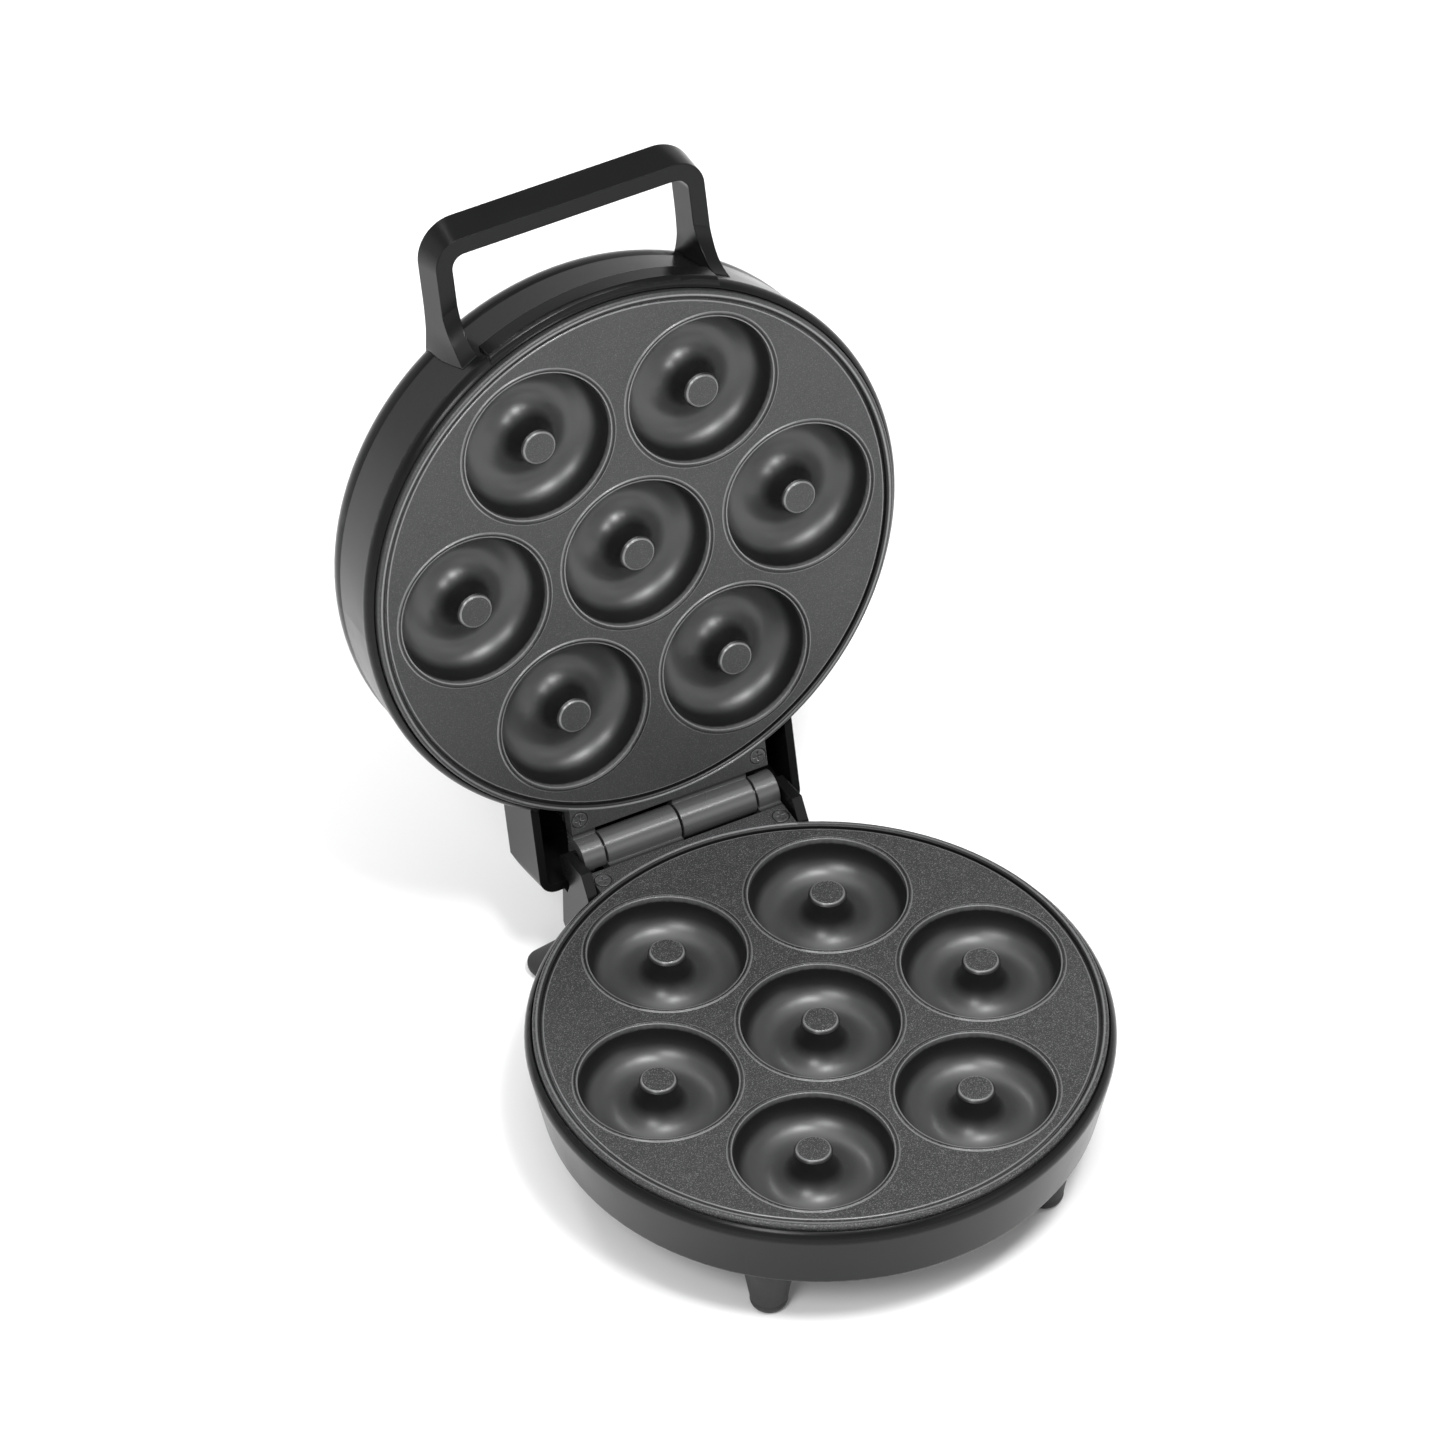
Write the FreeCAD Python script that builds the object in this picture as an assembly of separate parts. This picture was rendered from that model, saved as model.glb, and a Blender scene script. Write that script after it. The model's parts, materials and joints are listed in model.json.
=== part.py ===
import FreeCAD, Part
import math
import os

os.makedirs("parts", exist_ok=True)

V = FreeCAD.Vector
X_AXIS, Y_AXIS, Z_AXIS = V(1, 0, 0), V(0, 1, 0), V(0, 0, 1)

# A table-top appliance of two hinged halves. +Z is up, the handle side is -Y and the hinge
# side is +Y. Everything is drawn with the middle of the lower plate over x = y = 0, and moved
# on export so that the origin is on the ground under the middle of the open appliance.
# Both halves are drawn as if they were the base. "Drop" is a distance behind the tops of the
# plate's posts. Lid parts are then turned over onto the base and swung open to their rest pose.

# ---------------------------------------------------------------- driving dimensions (mm)
PLATE_Z = 55.5          # post tops of the lower plate above the ground
HALF_GAP = 1.0          # from either plate's post tops to the parting plane, lid closed
PARTING_Z = PLATE_Z + HALF_GAP
HINGE_Y = 108.1
OPEN_ANGLE = 102.7      # lid resting open, measured from closed
ORIGIN_Y = 47.3         # middle of the open appliance, behind the middle of the lower plate

# plates
PLATE_R = 98.0
FIELD_DROP = 1.0        # flat field between the moulds
UNDER_DROP = 4.0        # underside of the flat
PITCH = 62.0            # from mould to mould
MOULDS = [(0.0, 0.0)] + [
    (PITCH * math.cos(math.radians(a)), PITCH * math.sin(math.radians(a))) for a in range(0, 360, 60)
]
MOULD_MID_R = 17.0      # middle line of the ring trough
MOULD_HALF_W = 10.4
MOULD_DEPTH = 12.5
CAST_WALL = 2.4
POST_TOP_R = 5.7
BEAD_IN_R, BEAD_OUT_R, BEAD_H = 27.9, 29.1, 0.5
LIP_IN_R, LIP_DROP = 95.5, 0.4
GROOVE_W, GROOVE_DEPTH = 1.0, 1.2

# hinge
BARREL_R = 6.6
BARREL_LONG = (-28.8, -0.5)
BARREL_SHORT = (29.7, 37.9)
PIN_R = 2.5
PIN_RUNNING_CLEAR = 0.05
PIN_SPAN = (6.0, 37.4)
TAB_HALF, TAB_DROP, TAB_T = 37.9, 0.1, 4.9
TAB_GAP = 1.8           # between a tab's edge and the other casting's barrel
TAB_SCREW = (34.5, 94.8)
HEAD_R, HEAD_H = 2.8, 1.4
SHANK_R, SHANK_L = 1.75, 11.0

# heating parts
ELEMENT_MID_R, ELEMENT_R, ELEMENT_DROP = 31.0, 3.25, 12.2
ELEMENT_END_ANGLE = 14.0    # half the opening between the element's two ends
SHIELD_R, SHIELD_DROPS, SHIELD_T = 91.0, (8.6, 21.0), 0.6

# shells
SHELL_T = 2.4
RIM_R, RIM_IN_R = 100.7, 98.5
RIM_DROP = 2.5          # inner edge of either rim
CREASE_DROP = 7.2       # where the rolled rim meets the wall
LEDGE_R = 93.0          # inner edge of the seat that carries the plate
FLOOR_DROP, FLOOR_R = 30.0, 96.0
COVER_R, COVER_T = 92.4, 2.0
COVER_SCREW_R = 88.0
COVER_SCREW_ANGLES = (20, 160, 200, 340)
LUG_H = 6.0
# radius and drop of the lid wall's end, and of its shoulder's middle and end
SHOULDER = ((98.3, 30.0), (97.5, 36.6), (92.0, 41.4))
LID_TOP_DROP = 43.2

# hinge tower on the base, hinge block on the lid
TOWER_HALF, TOWER_BACK_Y, TOWER_BACK_DROP = 42.8, 109.5, 11.4
CHEEK_IN = 38.9
BLOCK_HALF, BLOCK_WALL, BLOCK_BACK_Y, BLOCK_LEAN = 50.6, 3.0, 122.0, 5.9
BLOCK_RIM_DROP, BLOCK_DEPTH = 4.0, 27.5
BLOCK_CORNER_R = 6.0

# raised pad on the lid's front wall, between the handle's legs
PAD_HALF, PAD_R, PAD_DROPS = 43.2, 102.2, (2.9, 12.0)

# handle
HANDLE_OUT_Y, HANDLE_HALF, STRAP_T = 128.5, 50.7, 6.0    # at the edge nearer the plate
HANDLE_LEAN, HANDLE_SPREAD, INNER_DRAFT = 2.8, 1.3, 0.9  # change towards the far edge
HANDLE_BEND_R, BEND_GROWTH = 10.0, 4.0
LEG_FLARE = 3.0         # sideways spread of each leg at its root
STRAP_DROPS = (22.3, 34.5)
HANDLE_SCREW_X, HANDLE_SCREW_DROP = 48.2, 28.0

# feet
FOOT_TIP_R, FOOT_FACE_R, FOOT_TIP_Z = 6.5, 4.2, 4.5
FRONT_FOOT, FRONT_FOOT_TOP_R = (53.0, -63.2), 10.0
REAR_FOOT_TIP, REAR_FOOT_TOP, REAR_FOOT_TOP_R = (46.8, 115.5), (35.2, 98.0), 8.0

# small parts
THERMOSTAT_Y = 78.0
FUSE_Y = -78.0
GLAND_Z, GLAND_R = 32.7, 3.8
LAMP_X, LAMP_Y, LENS_R = 12.0, -58.0, 4.0

HINGE_AXIS = V(0, HINGE_Y, PARTING_Z)


# ---------------------------------------------------------------- helpers
def at_drop(drop):
    return PLATE_Z - drop


FLOOR_Z = at_drop(FLOOR_DROP)


def box(x0, x1, y0, y1, z0, z1):
    return Part.makeBox(x1 - x0, y1 - y0, z1 - z0, V(x0, y0, z0))


def rod(radius, start, end):
    a, b = V(*start), V(*end)
    return Part.makeCylinder(radius, (b - a).Length, a, b - a)


def disc(radius, z0, z1, x=0.0, y=0.0):
    return Part.makeCylinder(radius, z1 - z0, V(x, y, z0))


def outline_face(points, place):
    """A face bounded by points and arcs. An arc is the pair (middle point, end point)."""
    edges = []
    last = points[0]
    for step in points[1:] + [points[0]]:
        is_arc = isinstance(step[0], tuple)
        end = step[1] if is_arc else step
        if is_arc:
            edges.append(Part.Arc(place(*last), place(*step[0]), place(*end)).toShape())
        elif end != last:
            edges.append(Part.makeLine(place(*last), place(*end)))
        last = end
    return Part.Face(Part.Wire(edges))


def turned(points):
    """A solid of revolution about Z from (radius, z) points."""
    return outline_face(points, lambda r, z: V(r, 0, z)).revolve(V(0, 0, 0), Z_AXIS, 360)


def side_prism(points, x0, x1):
    """A prism along X from (y, z) points."""
    return outline_face(points, lambda y, z: V(x0, y, z)).extrude(V(x1 - x0, 0, 0))


def plan_prism(points, z0, z1):
    """A prism along Z from (x, y) points."""
    return outline_face(points, lambda x, y: V(x, y, z0)).extrude(V(0, 0, z1 - z0))


def fuse(shapes):
    joined = shapes[0].multiFuse(shapes[1:]) if len(shapes) > 1 else shapes[0]
    return joined.removeSplitter()


def mirror_x(shape):
    return shape.mirror(V(0, 0, 0), X_AXIS)


def moved(shape, x, y):
    return shape.translated(V(x, y, 0))


def on_lid(shape):
    """Turns a base-side shape over onto the base and swings it open to the rest pose."""
    placed = shape.copy()
    placed.rotate(V(0, 0, PARTING_Z), Y_AXIS, 180)
    placed.rotate(HINGE_AXIS, X_AXIS, -OPEN_ANGLE)
    return placed


def export(name, shape, count=1):
    solids = shape.Solids
    assert shape.isValid(), name
    assert len(solids) == count, f"{name}: {len(solids)} solids"
    whole = solids[0] if count == 1 else Part.makeCompound(solids)
    whole.translated(V(0, -ORIGIN_Y, 0)).exportStep(f"parts/{name}.step")


# ---------------------------------------------------------------- plates
def half_ellipse_ring(half_w, depth, top_z):
    """The lower half of an elliptic ring, cut flat at top_z."""
    centre = V(MOULD_MID_R, 0, top_z)
    bottom = centre - V(0, 0, depth)
    ends = [centre - V(half_w, 0, 0), centre + V(half_w, 0, 0)]
    major, minor = (bottom, ends[1]) if depth > half_w else (ends[1], bottom)
    ellipse = Part.Ellipse(major, minor, centre)
    first, second = sorted(ellipse.parameter(end) for end in ends)
    arc = Part.ArcOfEllipse(ellipse, first, second)
    if arc.value((first + second) / 2).z > top_z:
        arc = Part.ArcOfEllipse(ellipse, second, first + 2 * math.pi)
    wire = Part.Wire([arc.toShape(), Part.makeLine(ends[0], ends[1])])
    return Part.Face(wire).revolve(V(0, 0, 0), Z_AXIS, 360)


def mould_cavity():
    """One ring trough and the room over it, around a slightly tapered post."""
    field = at_drop(FIELD_DROP)
    inner, outer = MOULD_MID_R - MOULD_HALF_W, MOULD_MID_R + MOULD_HALF_W
    mouth = turned([(inner, field), (outer, field), (outer, PLATE_Z + 2), (POST_TOP_R, PLATE_Z + 2),
                    (POST_TOP_R, PLATE_Z)])
    return half_ellipse_ring(MOULD_HALF_W, MOULD_DEPTH, field).fuse(mouth)


def plate_disc():
    """Flat disc with its groove and rolled lip, mould cups, posts and beads."""
    field, under, lip = at_drop(FIELD_DROP), at_drop(UNDER_DROP), at_drop(LIP_DROP)
    groove_in = LIP_IN_R - GROOVE_W
    body = turned([
        (0, under), (PLATE_R - 0.5, under), (PLATE_R, under + 0.5), (PLATE_R, lip - 0.5), (PLATE_R - 0.5, lip),
        (LIP_IN_R + 0.4, lip), (LIP_IN_R, lip - 0.4), (LIP_IN_R, field - GROOVE_DEPTH),
        (groove_in, field - GROOVE_DEPTH), (groove_in, field - 0.2), (groove_in - 0.2, field), (0, field),
    ])
    cup = half_ellipse_ring(MOULD_HALF_W + CAST_WALL, MOULD_DEPTH + CAST_WALL, field)
    post = disc(MOULD_MID_R - MOULD_HALF_W, field - 1, PLATE_Z)
    bead_mid = ((BEAD_IN_R + BEAD_OUT_R) / 2, field + BEAD_H)
    bead = turned([(BEAD_IN_R, field - 0.5), (BEAD_IN_R, field), (bead_mid, (BEAD_OUT_R, field)),
                   (BEAD_OUT_R, field - 0.5)])
    return fuse([body] + [moved(shape, x, y) for x, y in MOULDS for shape in (cup, post, bead)])


def hinge_rod(radius, x0, x1):
    return rod(radius, (x0, HINGE_Y, PARTING_Z), (x1, HINGE_Y, PARTING_Z))


def hinge_tab():
    """Tab behind the disc with one long barrel and one short, notched knuckle."""
    top = at_drop(TAB_DROP)
    start_y = math.sqrt(PLATE_R ** 2 - TAB_HALF ** 2) - 3
    shape = box(-TAB_HALF, TAB_HALF, start_y, HINGE_Y, top - TAB_T, top)
    for x0, x1 in ((-TAB_HALF - 1, BARREL_LONG[0] - 0.4), (BARREL_LONG[1], BARREL_SHORT[0] - 0.4)):
        clear_y = HINGE_Y - BARREL_R - TAB_GAP
        shape = shape.cut(box(x0, x1, clear_y, HINGE_Y + 1, top - TAB_T - 1, top + 1))
    shape = fuse([shape, hinge_rod(BARREL_R, *BARREL_LONG), hinge_rod(BARREL_R, *BARREL_SHORT)])
    notch = box(BARREL_SHORT[0] - 1, BARREL_SHORT[0] + 4.4, HINGE_Y + PIN_R + 0.4, HINGE_Y + 8,
                PARTING_Z - 8, PARTING_Z + 8)
    return shape.cut(notch).cut(disc(LIP_IN_R + 1, PLATE_Z - 20, PLATE_Z + 20))


def tab_screw_room():
    """Head recess and shank hole of both tab screws."""
    x, y = TAB_SCREW
    top = at_drop(TAB_DROP)
    head_room = disc(HEAD_R + 0.35, top - HEAD_H, top + 3, x, y)
    one = fuse([head_room, disc(SHANK_R, top - HEAD_H - SHANK_L, top, x, y)])
    return fuse([one, mirror_x(one)])


def plate(bore_clear):
    """One casting, drawn as the lower plate."""
    rib_top, rib_bottom = at_drop(UNDER_DROP - 1), at_drop(ELEMENT_DROP - ELEMENT_R)
    rib = disc(ELEMENT_MID_R + 1, rib_bottom, rib_top).cut(disc(ELEMENT_MID_R - 1, rib_bottom, rib_top))
    body = fuse([plate_disc(), hinge_tab(), rib])
    cavity = mould_cavity()
    for x, y in MOULDS:
        body = body.cut(moved(cavity, x, y))
    bore_r = PIN_R + bore_clear
    for x0, x1 in ((BARREL_LONG[0] - 1, -PIN_SPAN[0] + 1), (BARREL_SHORT[0] - 1, BARREL_SHORT[1] + 1)):
        body = body.cut(hinge_rod(bore_r, x0, x1))
    return body.cut(tab_screw_room())


def cross_screw(x, y, top):
    """Pan-head screw with a cross recess, head down in its recess."""
    recess = fuse([
        box(x - 1.9, x + 1.9, y - 0.35, y + 0.35, top - 0.8, top + 1),
        box(x - 0.35, x + 0.35, y - 1.9, y + 1.9, top - 0.8, top + 1),
    ])
    head = disc(HEAD_R, top - HEAD_H, top, x, y)
    return fuse([head, disc(SHANK_R, top - HEAD_H - SHANK_L, top - HEAD_H, x, y)]).cut(recess)


def tab_screws():
    x, y = TAB_SCREW
    return Part.makeCompound([cross_screw(side * x, y, at_drop(TAB_DROP)) for side in (-1, 1)])


# ---------------------------------------------------------------- heating parts
def element_ends():
    """Plan positions of the heating element's two ends."""
    for angle in (90 - ELEMENT_END_ANGLE, 90 + ELEMENT_END_ANGLE):
        yield ELEMENT_MID_R * math.cos(math.radians(angle)), ELEMENT_MID_R * math.sin(math.radians(angle))


def heating_element():
    """Tubular element: an open ring whose ends turn down to their terminals."""
    z = at_drop(ELEMENT_DROP)
    section = Part.Face(Part.Wire(Part.makeCircle(ELEMENT_R, V(ELEMENT_MID_R, 0, z), Y_AXIS)))
    arc = section.revolve(V(0, 0, 0), Z_AXIS, 360 - 2 * ELEMENT_END_ANGLE)
    arc.rotate(V(0, 0, 0), Z_AXIS, 90 + ELEMENT_END_ANGLE)
    pieces = [arc]
    for x, y in element_ends():
        pieces.append(Part.makeSphere(ELEMENT_R, V(x, y, z)))
        pieces.append(disc(ELEMENT_R * 0.6, z - 7, z, x, y))
        pieces.append(disc(1.1, z - 12, z, x, y))
    return fuse(pieces)


def heat_shield():
    """Thin reflector dish behind the element, pierced for the element's ends."""
    top, bottom = (at_drop(d) for d in SHIELD_DROPS)
    dish = turned([
        (0, bottom), (SHIELD_R - 4, bottom), (SHIELD_R, bottom + 4),
        (SHIELD_R, top), (SHIELD_R - SHIELD_T, top),
        (SHIELD_R - SHIELD_T, bottom + 4.25), (SHIELD_R - 4.25, bottom + SHIELD_T), (0, bottom + SHIELD_T),
    ])
    for x, y in element_ends():
        dish = dish.cut(disc(4.0, bottom - 1, bottom + 1, x, y))
    return dish


def thermostat():
    """Round bimetal switch with two blades, clamped under the plate."""
    top = at_drop(UNDER_DROP)
    stack = [disc(7.8, top - 1.5, top), disc(6.8, top - 8, top), disc(2.2, top - 10, top)]
    blades = [box(x - 0.4, x + 0.4, -3, 3, top - 13, top - 7) for x in (-4.5, 4.5)]
    return moved(fuse(stack + blades), 0, THERMOSTAT_Y)


def thermal_fuse():
    """Axial fuse with its two leads, clamped under the plate."""
    z = at_drop(UNDER_DROP) - 2.2
    return fuse([rod(2.2, (-7, FUSE_Y, z), (7, FUSE_Y, z)), rod(0.7, (-13, FUSE_Y, z), (13, FUSE_Y, z))])


def wire_pair(points):
    """Two mirrored wires, each a run of straight lengths with round joints."""
    radius = 1.1
    pieces = [Part.makeSphere(radius, V(*point)) for point in points]
    pieces += [rod(radius, a, b) for a, b in zip(points, points[1:])]
    wire = fuse(pieces)
    return Part.makeCompound([wire, mirror_x(wire)])


# ---------------------------------------------------------------- shells
def rolled_rim():
    """Outline steps of the rim, from the crease up and over to the inner edge."""
    return [((RIM_R - 0.35, at_drop(CREASE_DROP - 3.0)), (RIM_IN_R + 0.3, at_drop(RIM_DROP))),
            (0, at_drop(RIM_DROP))]


def plate_seat():
    return disc(RIM_IN_R, at_drop(UNDER_DROP), PLATE_Z + 3)


def chamber(floor_z, low_r, high_r, high_z):
    """Room inside a shell, closed towards the plate by the seat's sloping ledge."""
    return turned([(0, floor_z), (low_r, floor_z), (high_r, high_z), (RIM_R - SHELL_T - 0.6, at_drop(12)),
                   (LEDGE_R, at_drop(8.5)), (LEDGE_R, at_drop(UNDER_DROP)), (0, at_drop(UNDER_DROP))])


def screw_post(top_z, bottom_z):
    x, y = TAB_SCREW
    post = disc(4.2, bottom_z, top_z, x, y)
    return [post, mirror_x(post)]


def cover_screw_places():
    for angle in COVER_SCREW_ANGLES:
        turn = math.radians(angle)
        yield COVER_SCREW_R * math.cos(turn), COVER_SCREW_R * math.sin(turn), angle


def lower_housing():
    """Tub with rolled rim, plate seat, cover lugs and the hinge tower, in one moulding."""
    floor_in = FLOOR_Z + COVER_T
    tub = turned([
        (0, FLOOR_Z), (FLOOR_R - 1.2, FLOOR_Z),
        ((FLOOR_R - 0.3, FLOOR_Z + 0.4), (FLOOR_R + 0.2, FLOOR_Z + 1.3)),
        (RIM_R, at_drop(CREASE_DROP)),
    ] + rolled_rim())
    deck = at_drop(TAB_DROP + TAB_T)
    back_top = at_drop(TOWER_BACK_DROP)
    tower = side_prism([
        (84, FLOOR_Z), (TOWER_BACK_Y - 1.5, FLOOR_Z), (TOWER_BACK_Y, FLOOR_Z + 1.5), (TOWER_BACK_Y, back_top),
        (105.6, back_top), (103.6, deck), (84, deck),
    ], -TOWER_HALF, TOWER_HALF)
    cheek = side_prism([
        (88.0, at_drop(6)), (90.1, at_drop(1.6)), (95.1, at_drop(-5.5)), (109.6, at_drop(-3.3)),
        (111.4, at_drop(-1.3)), (109.1, at_drop(5.1)), (104.6, at_drop(5.5)),
        (104.2, back_top), (90.0, back_top),
    ], CHEEK_IN, TOWER_HALF)
    shell = fuse([tub, tower, cheek, mirror_x(cheek)])
    inside = TOWER_HALF - SHELL_T
    tower_room = side_prism([
        (80, floor_in), (TOWER_BACK_Y - SHELL_T, floor_in), (TOWER_BACK_Y - SHELL_T, back_top - SHELL_T),
        (104.1, back_top - SHELL_T), (102.1, deck - SHELL_T), (80, deck - SHELL_T),
    ], -inside, inside)
    shell = shell.cut(chamber(floor_in, FLOOR_R - SHELL_T, FLOOR_R - SHELL_T + 0.4, floor_in + 2))
    shell = shell.cut(plate_seat()).cut(tower_room)
    shell = shell.cut(disc(COVER_R + 0.2, FLOOR_Z - 1, floor_in + 0.5))
    shell = shell.cut(hinge_rod(BARREL_R + 1.0, -CHEEK_IN, CHEEK_IN))
    shell = shell.cut(box(-CHEEK_IN, CHEEK_IN, 80, HINGE_Y, deck, PLATE_Z + 3))
    shell = fuse([shell] + screw_post(deck, floor_in - 0.5))
    for x, y, angle in cover_screw_places():
        lug = box(0, FLOOR_R - COVER_SCREW_R - 0.8, -2, 2, floor_in, floor_in + LUG_H)
        lug.rotate(V(0, 0, 0), Z_AXIS, angle)
        shell = fuse([shell, moved(lug, x, y), disc(3.6, floor_in, floor_in + LUG_H, x, y)])
        shell = shell.cut(disc(1.5, floor_in - 1, floor_in + LUG_H - 1, x, y))
    return shell.cut(tab_screw_room()).cut(rod(GLAND_R, (0, 100, GLAND_Z), (0, 112, GLAND_Z)))


def bottom_cover():
    cover = disc(COVER_R, FLOOR_Z, FLOOR_Z + COVER_T)
    for x, y, _ in cover_screw_places():
        cover = cover.cut(disc(1.5, FLOOR_Z - 1, FLOOR_Z + 3, x, y))
        cover = cover.cut(disc(3.0, FLOOR_Z - 1, FLOOR_Z + 0.8, x, y))
    return cover


def cover_screws():
    screws = []
    for x, y, _ in cover_screw_places():
        head = disc(2.8, FLOOR_Z - 0.6, FLOOR_Z + 0.8, x, y)
        shank = disc(1.5, FLOOR_Z + 0.8, FLOOR_Z + COVER_T + LUG_H - 1.5, x, y)
        recess = box(x - 1.8, x + 1.8, y - 0.35, y + 0.35, FLOOR_Z - 1, FLOOR_Z)
        screws.append(fuse([head, shank]).cut(recess))
    return Part.makeCompound(screws)


def lid_form(inset=0.0):
    """Outer form of the lid, or its inner form when inset by the wall's thickness."""
    wall, mid, end = [(r - inset, at_drop(d - inset)) for r, d in SHOULDER]
    top_z = at_drop(LID_TOP_DROP - inset)
    return [(0, top_z), ((end[0] / 2, top_z + 0.35), end), (mid, wall)]


def hinge_block(half, back_y, rim_drop, depth, corner_r):
    """Block behind the lid: leaning back wall, round corners, open towards the base."""
    side = side_prism([
        (78, at_drop(rim_drop)), (back_y, at_drop(rim_drop)), (back_y - BLOCK_LEAN, at_drop(depth)),
        (78, at_drop(depth)),
    ], -half, half)
    bend = corner_r * (1 - math.sqrt(0.5))
    plan = plan_prism([
        (-half, 78), (half, 78),
        (half, back_y - corner_r), ((half - bend, back_y - bend), (half - corner_r, back_y)),
        (-half + corner_r, back_y), ((-half + bend, back_y - bend), (-half, back_y - corner_r)),
    ], at_drop(depth), at_drop(rim_drop))
    return side.common(plan)


def handle_screw_room():
    z = at_drop(HANDLE_SCREW_DROP)
    x = HANDLE_SCREW_X
    one = fuse([rod(3.2, (x, -78.5, z), (x, -82.5, z)), rod(1.6, (x, -82.5, z), (x, -98, z))])
    return fuse([one, mirror_x(one)])


def front_pad():
    """Pad that stands a little proud of the wall, with a rounded edge towards the plate."""
    front, back = (at_drop(d) for d in PAD_DROPS)
    inner = RIM_IN_R + 0.5
    ring = turned([(inner, back), (inner, front), (PAD_R - 2.0, front),
                   ((PAD_R - 0.5, front - 0.6), (PAD_R, front - 2.2)), (PAD_R, back)])
    return ring.common(box(-PAD_HALF, PAD_HALF, -PAD_R - 1, -80, back - 1, front + 1))


def upper_housing():
    """Lid shell with rolled rim, plate seat, rounded shoulder, hinge block and lamp holes."""
    form = turned(lid_form() + [(RIM_R, at_drop(CREASE_DROP))] + rolled_rim())
    block = hinge_block(BLOCK_HALF, BLOCK_BACK_Y, BLOCK_RIM_DROP, BLOCK_DEPTH, BLOCK_CORNER_R)
    shell = fuse([form, front_pad(), block])
    inner = lid_form(SHELL_T)
    room = turned(inner + [(RIM_R - SHELL_T - 0.6, at_drop(12)), (LEDGE_R, at_drop(8.5)),
                           (LEDGE_R, at_drop(UNDER_DROP)), (0, at_drop(UNDER_DROP))])
    room_half, room_back_y = BLOCK_HALF - BLOCK_WALL, BLOCK_BACK_Y - BLOCK_WALL
    block_room = hinge_block(room_half, room_back_y, BLOCK_RIM_DROP - 1, BLOCK_DEPTH - SHELL_T, 3.0)
    block_room = fuse([block_room, box(-room_half, room_half, 84, room_back_y - 3, at_drop(4), PLATE_Z + 3)])
    shell = shell.cut(room).cut(plate_seat()).cut(block_room)
    shell = fuse([shell] + screw_post(at_drop(TAB_DROP + TAB_T), at_drop(BLOCK_DEPTH - SHELL_T + 0.5)))
    for x in (-LAMP_X, LAMP_X):
        shell = shell.cut(disc(LENS_R, at_drop(50), at_drop(30), x, LAMP_Y))
        post = disc(3.0, at_drop(LID_TOP_DROP - 1.2), at_drop(33), x * 1.9, LAMP_Y)
        shell = fuse([shell, post])
    return shell.cut(tab_screw_room()).cut(handle_screw_room())


def strap_outline(z, flare):
    """Outline of the handle's right half at one level: grip, round bend and spreading leg."""
    front, back = (at_drop(d) for d in STRAP_DROPS)
    share = (front - z) / (front - back)
    half, out_y = HANDLE_HALF + HANDLE_SPREAD * share, -HANDLE_OUT_Y - HANDLE_LEAN * share
    in_half, in_y = HANDLE_HALF - STRAP_T - INNER_DRAFT * share, -HANDLE_OUT_Y + STRAP_T
    bend, in_bend = HANDLE_BEND_R + BEND_GROWTH * share, HANDLE_BEND_R / 2
    off, in_off = (r * (1 - math.sqrt(0.5)) for r in (bend, in_bend))
    points = [
        (0, out_y), (half - bend, out_y), ((half - off, out_y + off), (half, out_y + bend)), (half, -94.0),
        ((half + flare / 4, -88.4), (half + flare, -84.0)), (half + flare, -79.0), (in_half - 1.5, -79.0),
        (in_half - 1.5, -86.0), ((in_half - 0.4, -91.0), (in_half, -98.0)), (in_half, in_y + in_bend),
        ((in_half - in_off, in_y + in_off), (in_half - in_bend, in_y)), (0, in_y),
    ]
    return outline_face(points, lambda x, y: V(x, y, z)).OuterWire


def handle():
    """Strap bent to a C with drafted sides; both legs sweep down to the lid's rim."""
    front, back = (at_drop(d) for d in STRAP_DROPS)
    right = Part.makeLoft([strap_outline(at_drop(6), LEG_FLARE), strap_outline(at_drop(40), 0.1)], True, True)
    sweep = turned([
        (0, at_drop(8)), (99.9, at_drop(8)), ((103.4, at_drop(16.2)), (113, front)), (150, front), (150, back),
        (116, back), ((106, at_drop(35.2)), (96, at_drop(37))), (0, at_drop(37)),
    ])
    right = right.common(sweep)
    whole = fuse([right, mirror_x(right)])
    envelope = turned(lid_form() + [(RIM_R, at_drop(CREASE_DROP)), (RIM_R, PLATE_Z), (0, PLATE_Z)])
    return whole.cut(envelope).cut(handle_screw_room())


def handle_screws():
    z = at_drop(HANDLE_SCREW_DROP)
    x = HANDLE_SCREW_X
    head = rod(3.0, (x, -80.3, z), (x, -82.5, z)).cut(box(x - 2, x + 2, -80.9, -80, z - 0.4, z + 0.4))
    one = fuse([head, rod(1.6, (x, -82.5, z), (x, -98, z))])
    return Part.makeCompound([one, mirror_x(one)])


# ---------------------------------------------------------------- feet and small parts
def foot(tip, top, top_r):
    """Round leg from under the floor to a rounded tip on the ground."""
    sections = []
    for (x, y), radius, z in ((top, top_r, FLOOR_Z), (tip, FOOT_TIP_R, FOOT_TIP_Z)):
        sections.append(Part.Wire(Part.makeCircle(radius, V(x, y, z))))
    leg = Part.makeLoft(sections, True, True)
    mid_r = FOOT_FACE_R + (FOOT_TIP_R - FOOT_FACE_R) * 0.8
    rounding = ((mid_r, FOOT_TIP_Z * 0.38), (FOOT_TIP_R, FOOT_TIP_Z))
    end = turned([(0, 0), (FOOT_FACE_R, 0), rounding, (0, FOOT_TIP_Z)])
    return fuse([leg, moved(end, *tip)])


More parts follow.
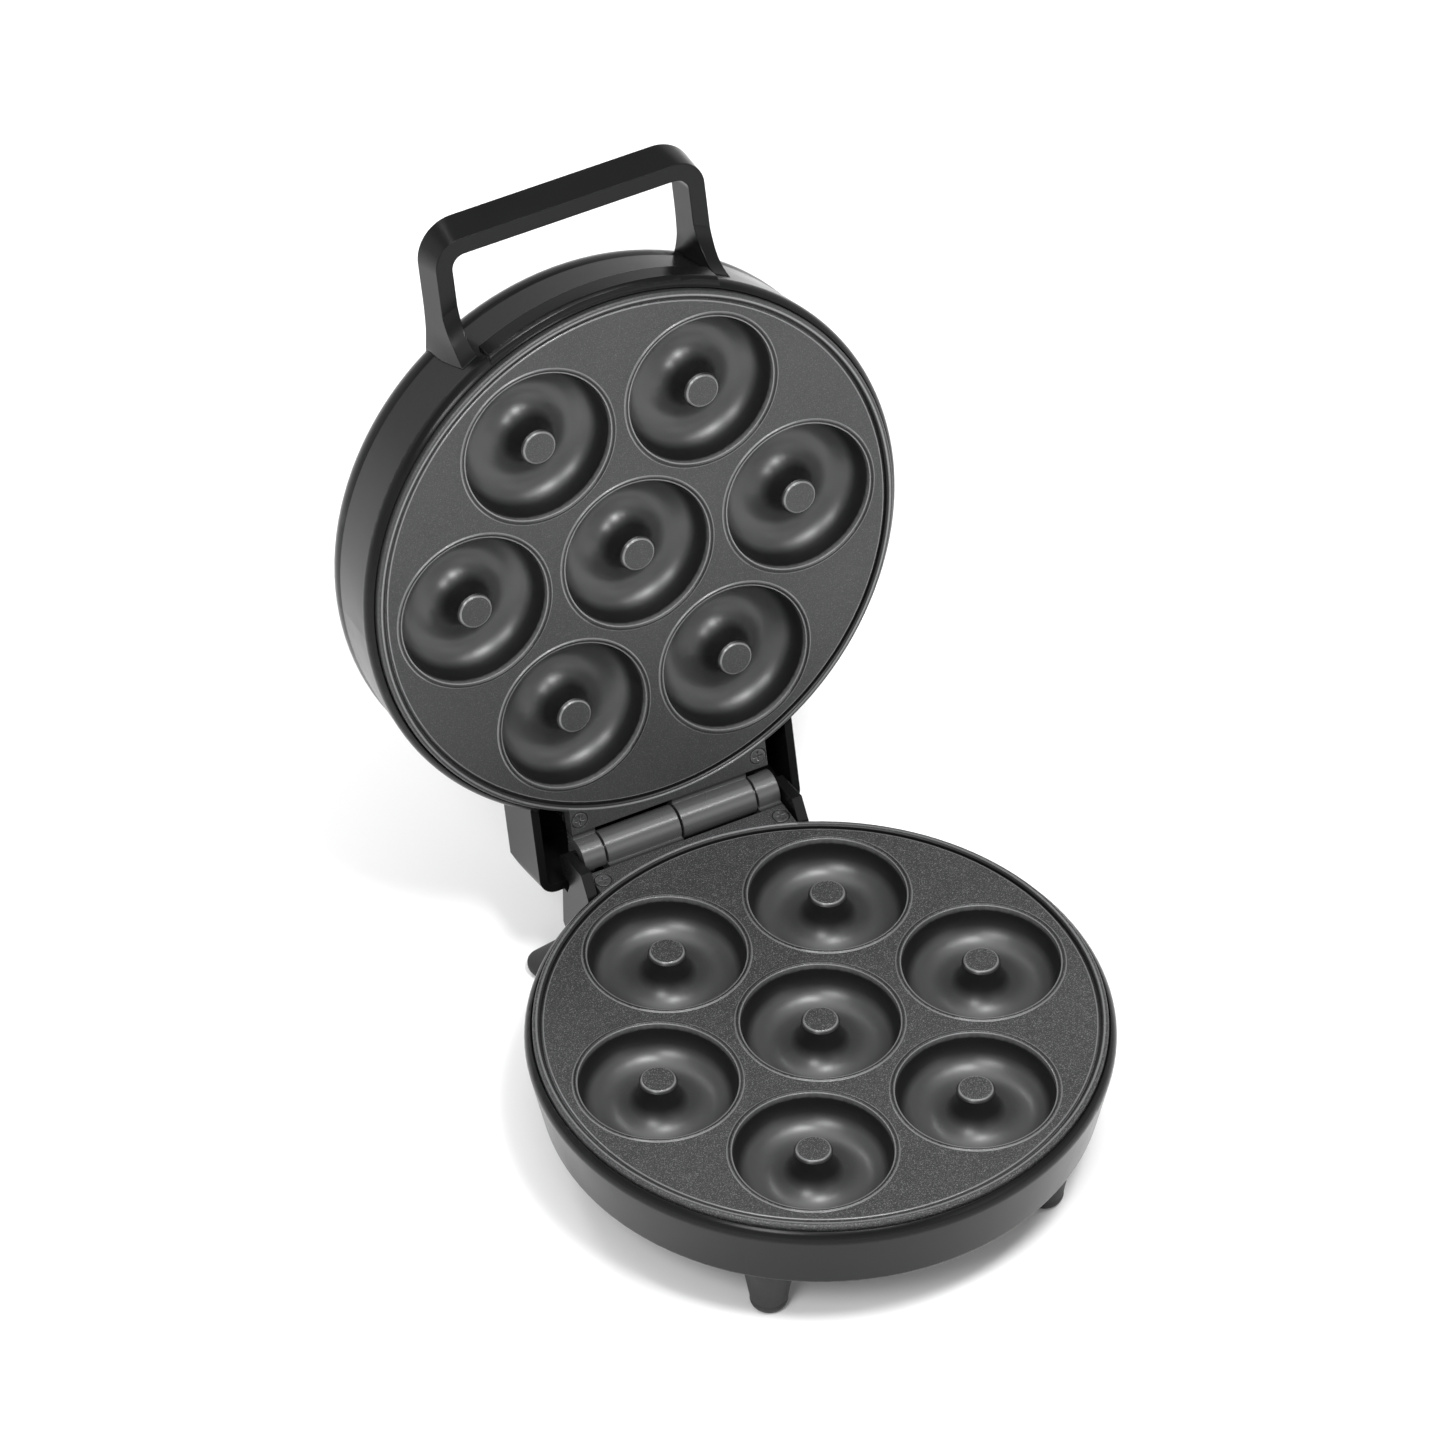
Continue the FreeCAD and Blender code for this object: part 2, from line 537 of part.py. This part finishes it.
def cord_gland():
    """Bush that grips the mains cord where it leaves the tower."""
    parts = [rod(GLAND_R, (0, 102.5, GLAND_Z), (0, 112, GLAND_Z)),
             rod(5.2, (0, TOWER_BACK_Y, GLAND_Z), (0, 111, GLAND_Z)),
             rod(4.8, (0, 103.6, GLAND_Z), (0, TOWER_BACK_Y - SHELL_T, GLAND_Z)),
             Part.makeCone(4.6, 3.6, 14, V(0, 111, GLAND_Z), Y_AXIS)]
    return fuse(parts).cut(rod(2.6, (0, 100, GLAND_Z), (0, 130, GLAND_Z)))


def terminal_block():
    floor_in = FLOOR_Z + COVER_T
    block = box(-10, 10, 92, 101, floor_in, floor_in + 8)
    for x in (-6.5, 0, 6.5):
        block = block.cut(disc(2.0, floor_in + 5, floor_in + 9, x, 96.5))
        block = block.cut(rod(1.5, (x, 90, floor_in + 3), (x, 97, floor_in + 3)))
    return block


def lamp_parts():
    """Two lenses, the two lamps behind them and the holder that carries the lamps."""
    face, flange, back = (at_drop(LID_TOP_DROP - d) for d in (0.2, 3.8, 5.0))
    lens = fuse([disc(LENS_R, face, flange), disc(5.4, flange, back)])
    lamp = fuse([disc(2.6, at_drop(36), at_drop(33.4)), Part.makeSphere(2.0, V(0, 0, at_drop(36)))])
    holder = box(-26, 26, LAMP_Y - 5, LAMP_Y + 5, at_drop(33), at_drop(31.2))
    for x in (-LAMP_X, LAMP_X):
        holder = fuse([holder, disc(4.0, at_drop(33.4), at_drop(31.2), x, LAMP_Y)])
    lamps = Part.makeCompound([moved(lamp, x, LAMP_Y) for x in (-LAMP_X, LAMP_X)])
    return moved(lens, -LAMP_X, LAMP_Y), moved(lens, LAMP_X, LAMP_Y), lamps, holder


# ---------------------------------------------------------------- the base
export("lower_housing", lower_housing())
export("bottom_cover", bottom_cover())
export("bottom_cover_screws", cover_screws(), len(COVER_SCREW_ANGLES))
export("lower_plate", plate(0.0))
export("lower_plate_screws", tab_screws(), 2)
export("lower_heating_element", heating_element())
export("lower_heat_shield", heat_shield())
export("thermostat", thermostat())
export("thermal_fuse", thermal_fuse())
export("terminal_block", terminal_block())
export("cord_gland", cord_gland())
wire_level = at_drop(ELEMENT_DROP) - 13.1
first_end = next(element_ends())
export("base_wiring", wire_pair([(first_end[0], first_end[1], wire_level), (first_end[0], 88.0, wire_level),
                                 (6.5, 90.8, FLOOR_Z + COVER_T + 3)]), 2)
export("hinge_pin_left", hinge_rod(PIN_R, -PIN_SPAN[1], -PIN_SPAN[0]))
export("hinge_pin_right", hinge_rod(PIN_R, PIN_SPAN[0], PIN_SPAN[1]))
front_foot = foot(FRONT_FOOT, FRONT_FOOT, FRONT_FOOT_TOP_R)
rear_foot = foot(REAR_FOOT_TIP, REAR_FOOT_TOP, REAR_FOOT_TOP_R)
export("front_right_foot", front_foot)
export("front_left_foot", mirror_x(front_foot))
export("rear_right_foot", rear_foot)
export("rear_left_foot", mirror_x(rear_foot))

# ---------------------------------------------------------------- the lid
export("upper_housing", on_lid(upper_housing()))
export("upper_plate", on_lid(plate(PIN_RUNNING_CLEAR)))
export("upper_plate_screws", on_lid(tab_screws()), 2)
export("upper_heating_element", on_lid(heating_element()))
export("upper_heat_shield", on_lid(heat_shield()))
export("handle", on_lid(handle()))
export("handle_screws", on_lid(handle_screws()), 2)
power_lens, ready_lens, lamps, lamp_holder = lamp_parts()
export("power_light_lens", on_lid(power_lens))
export("ready_light_lens", on_lid(ready_lens))
export("indicator_lamps", on_lid(lamps), 2)
export("lamp_holder", on_lid(lamp_holder))
lid_wire_way = [(first_end[0], first_end[1], wire_level),
                (first_end[0], 60.0, wire_level),
                (30.0, 88.0, wire_level)]
export("lid_wiring", on_lid(wire_pair(lid_wire_way)), 2)
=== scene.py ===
import bpy
import json
import math
from mathutils import Matrix, Vector


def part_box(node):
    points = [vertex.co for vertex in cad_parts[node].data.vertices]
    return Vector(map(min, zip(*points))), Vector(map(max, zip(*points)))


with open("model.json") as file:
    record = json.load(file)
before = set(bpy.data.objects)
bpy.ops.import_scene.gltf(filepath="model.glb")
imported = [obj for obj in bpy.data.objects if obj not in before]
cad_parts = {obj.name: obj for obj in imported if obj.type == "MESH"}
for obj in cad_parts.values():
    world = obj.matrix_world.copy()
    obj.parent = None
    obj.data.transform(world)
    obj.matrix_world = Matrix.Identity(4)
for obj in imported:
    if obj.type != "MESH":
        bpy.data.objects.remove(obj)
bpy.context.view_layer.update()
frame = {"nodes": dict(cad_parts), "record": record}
NODES = frame["nodes"]

# ---------------------------------------------------------------- places (metres)
PLATE_R = 0.098
POST_TOP_Z = 0.0555
PLATE_MIDDLE = Vector((0.0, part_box("lower_plate")[0].y + PLATE_R, POST_TOP_Z))
HINGE = frame["record"]["behaviour"]["joints"][0]
HINGE_AT = Vector(HINGE["pos_m"])
OPEN_ANGLE = math.radians(HINGE["range_deg"][1])
PITCH = 0.062
MOULDS = [(0.0, 0.0)] + [
    (PITCH * math.cos(math.radians(a)), PITCH * math.sin(math.radians(a))) for a in range(0, 360, 60)
]
MOULD_EDGE_R = 0.0279
POST_R = 0.0058

# Bands of a casting as (start, rise, fall, end): radii from a mould's middle or the plate's, or y.
MOULD_LIP = (0.0272, 0.0274, 0.0277, 0.0279)
BEAD_SEAM_SHADE = (0.0280, 0.0282, 0.0285, 0.0287)
BEAD_EDGE = (0.0288, 0.0290, 0.0292, 0.0294)
POST_EDGE = (0.0054, 0.0056, 0.0059, 0.0062)
FIELD_EDGE = (0.0939, 0.0941, 0.0945, 0.0947)
GROOVE_SHADE = (0.0947, 0.0949, 0.0960, 0.0962)
RIM_EDGE = (0.0962, 0.0964, 0.0968, 0.0970)
TAB_GAP_SHADE = (0.0994, 0.0997, 0.1003, 0.1006)
MOULD_WALL_SHADE = (0.0235, 0.0255)       # the trough steepens towards its mouth, where its wall gets painted shade
POST_ROOT_SHADE = (0.0080, 0.0105)        # and towards its post, where its root gets painted shade
BARREL_START = (0.1003, 0.1013)


# ---------------------------------------------------------------- node helpers
class Graph:
    """Builds one material's node tree in short calls."""

    def __init__(self, name):
        self.material = bpy.data.materials.new(name)
        self.material.use_nodes = True
        self.tree = self.material.node_tree
        self.tree.nodes.clear()
        out = self.add("ShaderNodeOutputMaterial")
        self.shader = self.add("ShaderNodeBsdfPrincipled")
        self.join(self.shader.outputs["BSDF"], out.inputs["Surface"])
        self.place = self.add("ShaderNodeTexCoord").outputs["Object"]

    def add(self, kind, **values):
        node = self.tree.nodes.new(kind)
        for key, value in values.items():
            setattr(node, key, value)
        return node

    def join(self, output, socket):
        self.tree.links.new(output, socket)

    def set(self, **values):
        for key, value in values.items():
            self.shader.inputs[key.replace("_", " ")].default_value = value

    def math(self, operation, a, b):
        node = self.add("ShaderNodeMath", operation=operation)
        for socket, value in zip(node.inputs, (a, b)):
            if isinstance(value, (int, float)):
                socket.default_value = value
            else:
                self.join(value, socket)
        return node.outputs[0]

    def inverse(self, value):
        return self.math("SUBTRACT", 1.0, value)

    def noise(self, scale, detail=4.0, roughness=0.55):
        node = self.add("ShaderNodeTexNoise")
        node.inputs["Scale"].default_value = scale
        node.inputs["Detail"].default_value = detail
        node.inputs["Roughness"].default_value = roughness
        self.join(self.place, node.inputs["Vector"])
        return node.outputs["Fac"]

    def ramp(self, value, low, high, start, end):
        """Maps value from low..high onto start..end, clamped."""
        node = self.add("ShaderNodeMapRange")
        for key, number in (("From Min", low), ("From Max", high), ("To Min", start), ("To Max", end)):
            node.inputs[key].default_value = number
        self.join(value, node.inputs["Value"])
        return node.outputs["Result"]

    def patches(self, noise):
        """Soft-edged patches, 0 to 1, out of a noise."""
        return self.ramp(noise, 0.35, 0.65, 0.0, 1.0)

    def vary(self, noise, start, end):
        """A slow change between two values, out of a noise."""
        return self.ramp(noise, 0.3, 0.7, start, end)

    def blend(self, factor, first, second):
        """Mixes two colours, each a tuple or a colour output."""
        node = self.add("ShaderNodeMix", data_type="RGBA")
        self.join(factor, node.inputs["Factor"])
        colours = [s for s in node.inputs if s.type == "RGBA"]
        for socket, value in zip(colours, (first, second)):
            if isinstance(value, tuple):
                socket.default_value = (*value, 1.0)
            else:
                self.join(value, socket)
        return [s for s in node.outputs if s.type == "RGBA"][0]

    def mix(self, factor, first, second):
        node = self.add("ShaderNodeMix", data_type="FLOAT")
        sockets = (node.inputs[0], node.inputs[2], node.inputs[3])
        for socket, value in zip(sockets, (factor, first, second)):
            self.join(value, socket)
        return node.outputs[0]

    def band(self, value, start, rise, fall, end):
        """1 between rise and fall, 0 outside start..end."""
        up = self.ramp(value, start, rise, 0.0, 1.0)
        return self.math("MULTIPLY", up, self.ramp(value, fall, end, 1.0, 0.0))

    def relief(self, heights, edge_r):
        """Stacks bumps on a softened-edge normal. heights: (value, strength, depth) rows."""
        normal = None
        if edge_r:
            bevel = self.add("ShaderNodeBevel", samples=6)
            bevel.inputs["Radius"].default_value = edge_r
            normal = bevel.outputs["Normal"]
        for value, strength, depth in heights:
            bump = self.add("ShaderNodeBump")
            bump.inputs["Strength"].default_value = strength
            bump.inputs["Distance"].default_value = depth
            self.join(value, bump.inputs["Height"])
            if normal:
                self.join(normal, bump.inputs["Normal"])
            normal = bump.outputs["Normal"]
        self.join(normal, self.shader.inputs["Normal"])


def moulded_plastic(name, dark, light, roughness, grain, grain_depth, edge_r):
    """Moulded plastic: slow shade drift, satin variation and a fine spark-eroded grain."""
    g = Graph(name)
    drift = g.noise(18.0, 3.0)
    fleck = g.noise(grain, 3.0, 0.6)
    g.join(g.blend(g.patches(drift), dark, light), g.shader.inputs["Base Color"])
    smudge = g.noise(55.0, 5.0)
    g.join(g.vary(smudge, *roughness), g.shader.inputs["Roughness"])
    g.relief([(fleck, 0.35, grain_depth), (drift, 0.2, 0.0004)], edge_r)
    return g


def casting_radii(g, mapping):
    """Distances on a casting's plane: to the nearest mould's middle, to the plate's, and y."""
    turn = g.add("ShaderNodeMapping", vector_type="POINT")
    turn.inputs["Rotation"].default_value = mapping[0]
    turn.inputs["Location"].default_value = mapping[1]
    g.join(g.place, turn.inputs["Vector"])
    split = g.add("ShaderNodeSeparateXYZ")
    g.join(turn.outputs["Vector"], split.inputs["Vector"])
    flat = g.add("ShaderNodeCombineXYZ")
    g.join(split.outputs["X"], flat.inputs["X"])
    g.join(split.outputs["Y"], flat.inputs["Y"])
    nearest = None
    for x, y in MOULDS:
        gap = g.add("ShaderNodeVectorMath", operation="DISTANCE")
        gap.inputs[1].default_value = (x, y, 0.0)
        g.join(flat.outputs["Vector"], gap.inputs[0])
        distance = gap.outputs["Value"]
        nearest = distance if nearest is None else g.math("MINIMUM", nearest, distance)
    reach = g.add("ShaderNodeVectorMath", operation="LENGTH")
    g.join(flat.outputs["Vector"], reach.inputs[0])
    return nearest, reach.outputs["Value"], split.outputs["Y"]


def cast_plate(name, mapping, low, high, speckle):
    """Non-stick casting: speckled flat field, smoother moulds, satin barrels, painted highlight lines
    along the edges, barrels painted lighter as painted sheen, and painted shade on the mould walls, post
    roots, bead seams, rim groove and in front of the barrels.

    low and high are the coating's shades, and speckle is the shade of its flecks."""
    g = Graph(name)
    from_mould, from_middle, y = casting_radii(g, mapping)

    in_mould = g.ramp(from_mould, MOULD_EDGE_R - 0.0004, MOULD_EDGE_R, 1.0, 0.0)
    on_post = g.ramp(from_mould, POST_R - 0.0002, POST_R + 0.0002, 1.0, 0.0)
    smooth = g.math("MULTIPLY", in_mould, g.inverse(on_post))
    wall = g.ramp(from_mould, *MOULD_WALL_SHADE, 0.0, 1.0)
    root = g.ramp(from_mould, *POST_ROOT_SHADE, 1.0, 0.0)
    painted_mould_shade = g.math("MULTIPLY", g.math("MAXIMUM", wall, root), smooth)
    painted_crease_shade = g.math("MAXIMUM", g.band(from_mould, *BEAD_SEAM_SHADE), g.band(from_middle, *GROOVE_SHADE))
    painted_gap_shade = g.band(y, *TAB_GAP_SHADE)
    # painted highlight: light lines along the mould lips, bead, post edges, field edge and rim edge
    edge = g.band(from_mould, *MOULD_LIP)
    for value, ring in ((from_mould, BEAD_EDGE), (from_mould, POST_EDGE),
                        (from_middle, FIELD_EDGE), (from_middle, RIM_EDGE)):
        edge = g.math("MAXIMUM", edge, g.band(value, *ring))
    on_barrel = g.ramp(y, *BARREL_START, 0.0, 1.0)

    fine = g.noise(2600.0, 2.0, 0.7)
    coarse = g.noise(900.0, 4.0, 0.6)
    cloud = g.noise(22.0, 4.0)
    speck = g.math("MULTIPLY", g.ramp(fine, 0.54, 0.64, 0.0, 1.0), g.inverse(smooth))
    body = g.blend(g.patches(cloud), low, high)
    for mask, shade in (
        (speck, speckle),
        (smooth, (0.050, 0.0505, 0.051)),
        # painted shade: the mould walls near the mouth and the post roots darkened
        (painted_mould_shade, (0.008, 0.0081, 0.0082)),
        # painted shade: dark lines in the bead seams and the rim groove
        (painted_crease_shade, (0.006, 0.006, 0.0061)),
        # painted highlight: the edge lines lightened
        (edge, (0.170, 0.171, 0.173)),
        # painted sheen: the barrels lighter than the tabs of the same coating
        (on_barrel, (0.075, 0.0755, 0.076)),
        # painted shade: a dark line in front of the barrels where the gap's shade falls
        (painted_gap_shade, (0.012, 0.012, 0.0122)),
    ):
        body = g.blend(mask, body, shade)
    g.join(body, g.shader.inputs["Base Color"])

    rough = g.mix(smooth, g.vary(coarse, 0.40, 0.52), g.vary(cloud, 0.34, 0.40))
    rough = g.mix(g.math("MAXIMUM", edge, on_barrel), rough, g.vary(cloud, 0.25, 0.30))
    g.join(rough, g.shader.inputs["Roughness"])
    g.set(Metallic=0.35, Specular_IOR_Level=0.62)
    calm = g.math("MAXIMUM", g.math("MULTIPLY", smooth, 0.6), g.math("MULTIPLY", on_barrel, 0.85))
    g.relief([(g.math("MULTIPLY", coarse, g.inverse(calm)), 0.30, 0.00009)], 0.00035)
    return g


def metal(name, colour, roughness, streak_scale, edge_r=0.0):
    """Plain metal with fine tooling streaks, tarnish and rubbed patches."""
    g = Graph(name)
    tarnish = g.noise(60.0, 6.0, 0.65)
    streak = g.noise(streak_scale, 3.0)
    worn = tuple(min(1.0, c * 1.35) for c in colour)
    g.join(g.blend(g.patches(tarnish), colour, worn), g.shader.inputs["Base Color"])
    g.join(g.vary(streak, roughness, roughness + 0.14), g.shader.inputs["Roughness"])
    g.set(Metallic=1.0)
    g.relief([(streak, 0.2, 0.00004)], edge_r)
    return g


# ---------------------------------------------------------------- finishes
BLACK = ((0.0045, 0.0046, 0.0047), (0.0060, 0.0061, 0.0063))
shell = moulded_plastic("shell_finish", *BLACK, (0.19, 0.25), 1900.0, 0.00001, 0.00045)
shell.set(Specular_IOR_Level=0.15)
grip = moulded_plastic("handle_finish", *BLACK, (0.19, 0.26), 2100.0, 0.00001, 0.0006)
grip.set(Specular_IOR_Level=0.18)
sole = moulded_plastic("foot_finish", (0.010, 0.010, 0.0105), (0.016, 0.016, 0.0165), (0.52, 0.66),
                       1100.0, 0.00012, 0.0006)
sole.set(Specular_IOR_Level=0.35)
bush = moulded_plastic("gland_finish", (0.012, 0.012, 0.012), (0.020, 0.020, 0.020), (0.60, 0.75),
                       1500.0, 0.00010, 0.0004)
nylon = moulded_plastic("terminal_finish", (0.50, 0.48, 0.41), (0.58, 0.56, 0.49), (0.42, 0.55),
                        900.0, 0.00005, 0.0003)
sleeve = moulded_plastic("sleeve_finish", (0.55, 0.53, 0.47), (0.66, 0.64, 0.58), (0.75, 0.9),
                         1600.0, 0.0002, 0.0)
screw = metal("screw_finish", (0.20, 0.20, 0.203), 0.26, 900.0, 0.0002)
tube = metal("element_finish", (0.34, 0.32, 0.30), 0.34, 700.0)
sheet = metal("shield_finish", (0.72, 0.73, 0.74), 0.22, 500.0)
cap = metal("thermostat_finish", (0.50, 0.49, 0.45), 0.28, 800.0, 0.0002)
can = metal("fuse_finish", (0.55, 0.52, 0.44), 0.26, 800.0, 0.0002)
pin = metal("pin_finish", (0.42, 0.42, 0.43), 0.22, 900.0, 0.0002)


def lens(name, dark, light):
    """Tinted glossy plastic under a clear coat."""
    g = moulded_plastic(name, dark, light, (0.06, 0.12), 500.0, 0.00002, 0.0003)
    g.set(Transmission_Weight=0.15, Coat_Weight=0.5, Coat_Roughness=0.04)
    return g


red = lens("red_lens_finish", (0.42, 0.012, 0.010), (0.55, 0.020, 0.015))
green = lens("green_lens_finish", (0.010, 0.26, 0.045), (0.015, 0.36, 0.070))
glass = lens("lamp_finish", (0.80, 0.74, 0.66), (0.92, 0.88, 0.82))
glass.set(Transmission_Weight=0.9)

low_turn = ((0.0, 0.0, 0.0), tuple(-PLATE_MIDDLE))
lid_turn = Matrix.Rotation(OPEN_ANGLE, 3, "X")
lid_shift = HINGE_AT - lid_turn @ HINGE_AT - PLATE_MIDDLE
# The lower casting's coating is painted darker than the lid's, though both are one coating: painted
# shade.
low_cast = cast_plate("lower_plate_finish", low_turn,
                      (0.022, 0.0222, 0.0225), (0.028, 0.0282, 0.0285), (0.150, 0.151, 0.153))
lid_cast = cast_plate("upper_plate_finish", ((OPEN_ANGLE, 0.0, 0.0), tuple(lid_shift)),
                      (0.030, 0.0304, 0.031), (0.036, 0.0364, 0.037), (0.070, 0.071, 0.072))

FINISHES = {
    "lower_housing": shell, "upper_housing": shell, "bottom_cover": shell, "handle": grip,
    "lower_plate": low_cast, "upper_plate": lid_cast,
    "lower_plate_screws": screw, "upper_plate_screws": screw,
    "bottom_cover_screws": screw, "handle_screws": screw,
    "lower_heating_element": tube, "upper_heating_element": tube,
    "lower_heat_shield": sheet, "upper_heat_shield": sheet,
    "thermostat": cap, "thermal_fuse": can, "terminal_block": nylon, "lamp_holder": nylon,
    "cord_gland": bush, "base_wiring": sleeve, "lid_wiring": sleeve,
    "hinge_pin_left": pin, "hinge_pin_right": pin,
    "front_left_foot": sole, "front_right_foot": sole, "rear_left_foot": sole, "rear_right_foot": sole,
    "power_light_lens": red, "ready_light_lens": green, "indicator_lamps": glass,
}
for name, finish in FINISHES.items():
    for slot in NODES[name].material_slots:
        slot.material = finish.material


# ---------------------------------------------------------------- floor, light and camera
def build_floor(half):
    mesh = bpy.data.meshes.new("floor")
    corners = [(-half, -half, 0.0), (half, -half, 0.0), (half, half, 0.0), (-half, half, 0.0)]
    mesh.from_pydata(corners, [], [(0, 1, 2, 3)])
    floor = bpy.data.objects.new("floor", mesh)
    bpy.context.collection.objects.link(floor)
    g = Graph("floor_finish")
    shade = g.blend(g.noise(3.0, 3.0), (0.90, 0.90, 0.90), (0.94, 0.94, 0.94))
    g.join(shade, g.shader.inputs["Base Color"])
    g.set(Roughness=0.8, Specular_IOR_Level=0.2)
    mesh.materials.append(g.material)


def area_light(name, at, size, power):
    """Round soft light at a place, aimed at the middle of the lower plate."""
    lamp = bpy.data.lights.new(name, "AREA")
    lamp.shape = "DISK"
    lamp.size = size
    lamp.energy = power
    holder = bpy.data.objects.new(name, lamp)
    holder.location = at
    holder.rotation_euler = (PLATE_MIDDLE - Vector(at)).to_track_quat("-Z", "Y").to_euler()
    bpy.context.collection.objects.link(holder)


def build_world(stops):
    """Pale studio, as (sine of the elevation, brightness) stops: bright low down and overhead."""
    world = bpy.data.worlds.new("studio")
    bpy.context.scene.world = world
    world.use_nodes = True
    nodes, links = world.node_tree.nodes, world.node_tree.links
    background = nodes["Background"]
    split = nodes.new("ShaderNodeSeparateXYZ")
    links.new(nodes.new("ShaderNodeTexCoord").outputs["Generated"], split.inputs["Vector"])
    shade = nodes.new("ShaderNodeValToRGB")
    links.new(split.outputs["Z"], shade.inputs["Fac"])
    brightest = max(value for _, value in stops)
    elements = shade.color_ramp.elements
    while len(elements) < len(stops):
        elements.new(1.0)
    for element, (height, value) in zip(elements, stops):
        element.position = height
        element.color = (value / brightest,) * 3 + (1.0,)
    links.new(shade.outputs["Color"], background.inputs["Color"])
    background.inputs["Strength"].default_value = brightest


def build_camera(angles, distance, side, rise, lens_mm):
    """Camera by azimuth, elevation and roll in degrees, and its offset from the lower plate's middle."""
    azimuth, elevation, roll = (math.radians(a) for a in angles)
    back = Vector((math.sin(azimuth) * math.cos(elevation), -math.cos(azimuth) * math.cos(elevation),
                   math.sin(elevation)))
    right = Vector((math.cos(azimuth), math.sin(azimuth), 0.0))
    up = back.cross(right)
    x = math.cos(roll) * right + math.sin(roll) * up
    y = math.cos(roll) * up - math.sin(roll) * right
    at = PLATE_MIDDLE + distance * back + side * x + rise * y
    data = bpy.data.cameras.new("camera")
    data.lens, data.sensor_width = lens_mm, 36.0
    data.clip_end = 50.0
    camera = bpy.data.objects.new("camera", data)
    camera.matrix_world = Matrix((
        (x.x, y.x, back.x, at.x), (x.y, y.y, back.y, at.y), (x.z, y.z, back.z, at.z), (0, 0, 0, 1)))
    bpy.context.collection.objects.link(camera)
    bpy.context.scene.camera = camera


build_floor(4.0)
build_world([(0.0, 1.0), (0.34, 0.95), (0.50, 0.40), (0.85, 0.40), (0.95, 2.4)])
area_light("key", (-1.5, -1.3, 2.3), 0.9, 36.0)
area_light("top", (0.0, -1.0, 2.25), 0.5, 32.0)
area_light("accent", (0.82, -0.85, 2.2), 0.3, 6.0)
area_light("fill", (1.2, -2.2, 1.2), 1.4, 5.0)
area_light("rim", (-0.4, 1.8, 2.4), 0.6, 10.0)
build_camera((-27.203, 43.302, -0.382), 4.2031, -0.03329, 0.10084, 308.26)
bpy.context.scene.view_settings.view_transform = "Standard"
